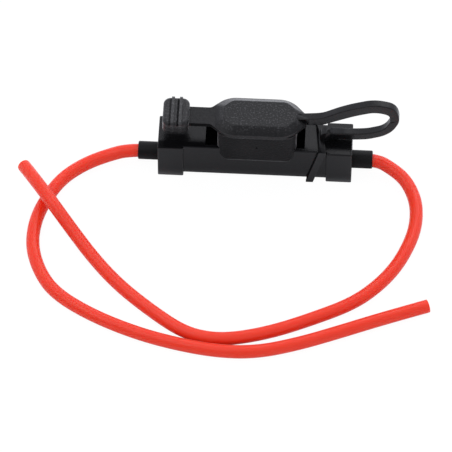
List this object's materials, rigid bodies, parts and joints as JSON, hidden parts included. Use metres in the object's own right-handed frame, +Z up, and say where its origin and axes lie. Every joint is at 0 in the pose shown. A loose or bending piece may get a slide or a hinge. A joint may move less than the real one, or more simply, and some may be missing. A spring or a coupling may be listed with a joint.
{
  "type": "inline fuse holder",
  "caption": "Black inline holder for a blade fuse, with a tethered pull-off cap, a ribbed thumb grip and red wire leads.",
  "frame": {"origin": "on the surface under the middle of the holder's box, leads left out", "axes": "+X along the holder towards the tether's loop, +Y to the holder's back, +Z up"},
  "size_m": [0.1313, 0.0844, 0.0342],
  "materials": {
    "black_moulding": "fine matte moulded grain",
    "soft_black": "soft matte moulding",
    "black_sleeve": "smooth matte sleeve",
    "red_insulation": "satin extruded insulation",
    "copper": "bare stranded copper",
    "brass": "plain stamped brass",
    "fuse_plastic": "clear tinted moulding",
    "fuse_metal": "stamped zinc"
  },
  "bodies": {
    "holder": {"housing": "black_moulding", "wire_sleeve_left": "black_sleeve", "wire_sleeve_right": "black_sleeve", "lead_left": "red_insulation", "lead_right": "red_insulation", "conductor_left": "copper", "conductor_right": "copper", "terminal_left": "brass", "terminal_right": "brass", "fuse_body": "fuse_plastic", "fuse_element": "fuse_metal", "tether": "soft_black"},
    "cap": {"cap": "black_moulding"}
  },
  "joints": [
    {"name": "cap_pull", "type": "slide", "parent": "holder", "child": "cap", "axis": [0, 0, 1], "range_m": [0, 0.018], "deforming": ["tether"]}
  ]
}
